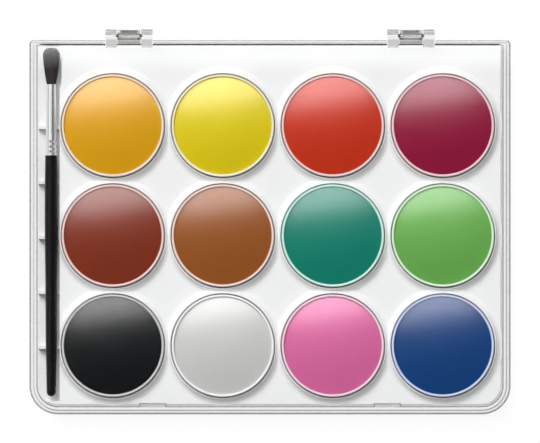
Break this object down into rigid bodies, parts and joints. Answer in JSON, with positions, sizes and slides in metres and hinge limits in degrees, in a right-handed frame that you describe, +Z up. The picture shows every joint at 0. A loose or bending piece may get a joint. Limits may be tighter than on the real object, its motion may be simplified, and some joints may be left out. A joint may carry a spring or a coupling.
{
  "type": "watercolour paint set",
  "caption": "Hinged clear box with a white insert that holds round watercolour cakes in clear cups and a paint brush.",
  "frame": {"origin": "middle of the closed box's footprint, without the hinges, on the surface the box rests on", "axes": "+Z up out of the lid, +Y towards the hinges, +X to the right seen from above with the hinges away"},
  "size_m": [0.1444, 0.1156, 0.0146],
  "materials": {
    "clear_plastic": "clear polished polystyrene",
    "white_plastic": "satin white formed sheet",
    "cup_plastic": "clear moulded plastic",
    "paint_ochre": "pressed watercolour cake with a satin sheen",
    "paint_yellow": "pressed watercolour cake with a satin sheen",
    "paint_vermilion": "pressed watercolour cake with a satin sheen",
    "paint_crimson": "pressed watercolour cake with a satin sheen",
    "paint_red_brown": "pressed watercolour cake with a satin sheen",
    "paint_brown": "pressed watercolour cake with a satin sheen",
    "paint_teal_green": "pressed watercolour cake with a satin sheen",
    "paint_light_green": "pressed watercolour cake with a satin sheen",
    "paint_black": "pressed watercolour cake with a satin sheen",
    "paint_white": "pressed watercolour cake with a satin sheen",
    "paint_pink": "pressed watercolour cake with a satin sheen",
    "paint_blue": "pressed watercolour cake with a satin sheen",
    "black_lacquer": "black gloss lacquer on wood",
    "ferrule_metal": "polished aluminium tube",
    "hair": "soft dark animal hair"
  },
  "bodies": {
    "base": {"base_tray": "clear_plastic", "insert_tray": "white_plastic"},
    "lid": {"lid": "clear_plastic"},
    "brush": {"brush_handle": "black_lacquer", "brush_ferrule": "ferrule_metal", "brush_bristles": "hair"},
    "pan_ochre": {"cup_ochre": "cup_plastic", "paint_ochre": "paint_ochre"},
    "pan_yellow": {"cup_yellow": "cup_plastic", "paint_yellow": "paint_yellow"},
    "pan_vermilion": {"cup_vermilion": "cup_plastic", "paint_vermilion": "paint_vermilion"},
    "pan_crimson": {"cup_crimson": "cup_plastic", "paint_crimson": "paint_crimson"},
    "pan_red_brown": {"cup_red_brown": "cup_plastic", "paint_red_brown": "paint_red_brown"},
    "pan_brown": {"cup_brown": "cup_plastic", "paint_brown": "paint_brown"},
    "pan_teal_green": {"cup_teal_green": "cup_plastic", "paint_teal_green": "paint_teal_green"},
    "pan_light_green": {"cup_light_green": "cup_plastic", "paint_light_green": "paint_light_green"},
    "pan_black": {"cup_black": "cup_plastic", "paint_black": "paint_black"},
    "pan_white": {"cup_white": "cup_plastic", "paint_white": "paint_white"},
    "pan_pink": {"cup_pink": "cup_plastic", "paint_pink": "paint_pink"},
    "pan_blue": {"cup_blue": "cup_plastic", "paint_blue": "paint_blue"}
  },
  "joints": [
    {"name": "lid_hinge", "type": "hinge", "parent": "base", "child": "lid", "pos_m": [0, 0.0572, 0.0119], "axis": [-1, 0, 0], "range_deg": [0, 180]},
    {"name": "brush_lift", "type": "slide", "parent": "base", "child": "brush", "axis": [0, 0, 1], "range_m": [0, 0.0038]},
    {"name": "lift_ochre", "type": "slide", "parent": "base", "child": "pan_ochre", "axis": [0, 0, 1], "range_m": [0, 0.0045]},
    {"name": "lift_yellow", "type": "slide", "parent": "base", "child": "pan_yellow", "axis": [0, 0, 1], "range_m": [0, 0.0045]},
    {"name": "lift_vermilion", "type": "slide", "parent": "base", "child": "pan_vermilion", "axis": [0, 0, 1], "range_m": [0, 0.0045]},
    {"name": "lift_crimson", "type": "slide", "parent": "base", "child": "pan_crimson", "axis": [0, 0, 1], "range_m": [0, 0.0045]},
    {"name": "lift_red_brown", "type": "slide", "parent": "base", "child": "pan_red_brown", "axis": [0, 0, 1], "range_m": [0, 0.0045]},
    {"name": "lift_brown", "type": "slide", "parent": "base", "child": "pan_brown", "axis": [0, 0, 1], "range_m": [0, 0.0045]},
    {"name": "lift_teal_green", "type": "slide", "parent": "base", "child": "pan_teal_green", "axis": [0, 0, 1], "range_m": [0, 0.0045]},
    {"name": "lift_light_green", "type": "slide", "parent": "base", "child": "pan_light_green", "axis": [0, 0, 1], "range_m": [0, 0.0045]},
    {"name": "lift_black", "type": "slide", "parent": "base", "child": "pan_black", "axis": [0, 0, 1], "range_m": [0, 0.0045]},
    {"name": "lift_white", "type": "slide", "parent": "base", "child": "pan_white", "axis": [0, 0, 1], "range_m": [0, 0.0045]},
    {"name": "lift_pink", "type": "slide", "parent": "base", "child": "pan_pink", "axis": [0, 0, 1], "range_m": [0, 0.0045]},
    {"name": "lift_blue", "type": "slide", "parent": "base", "child": "pan_blue", "axis": [0, 0, 1], "range_m": [0, 0.0045]}
  ]
}
